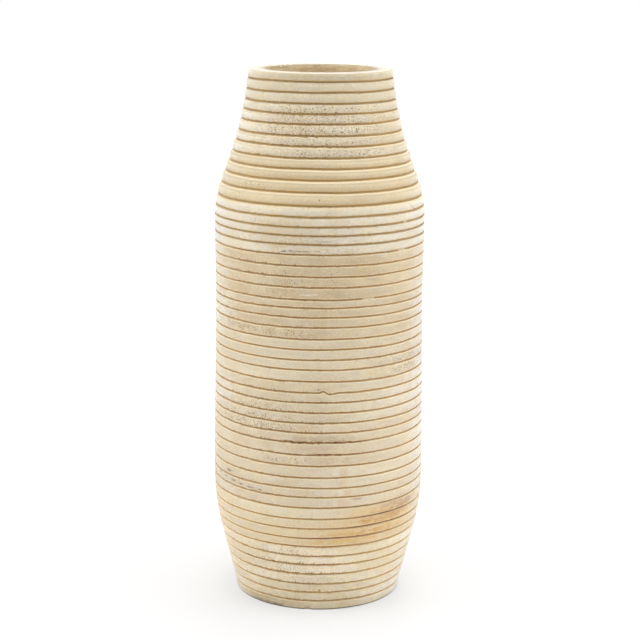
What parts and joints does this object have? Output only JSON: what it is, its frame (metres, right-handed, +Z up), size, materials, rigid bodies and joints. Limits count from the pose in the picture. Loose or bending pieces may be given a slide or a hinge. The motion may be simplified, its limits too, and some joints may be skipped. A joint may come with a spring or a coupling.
{
  "type": "wooden vase",
  "caption": "Tall round vase turned from glued wooden boards, grooved all over into close ribs, with a straight bored well for stems.",
  "frame": {"origin": "centre of the face that the vase rests on", "axes": "+Z up along the turning axis; the pictured side faces -Y, with +X to the right"},
  "size_m": [0.1602, 0.1602, 0.4],
  "materials": {
    "foot_wood": "bare, sanded, yellowish",
    "belly_wood": "bare, sanded, pale cream",
    "neck_wood": "bare, sanded, open pores"
  },
  "bodies": {
    "root": {"base_board": "foot_wood", "foot_ring_lower": "foot_wood", "foot_ring_upper": "foot_wood", "belly_ring_1": "belly_wood", "belly_ring_2": "belly_wood", "belly_ring_3": "belly_wood", "belly_ring_4": "belly_wood", "belly_ring_5": "belly_wood", "belly_ring_6": "belly_wood", "shoulder_ring_lower": "neck_wood", "shoulder_ring_upper": "neck_wood", "neck_ring": "neck_wood", "rim_ring": "neck_wood"}
  },
  "joints": []
}
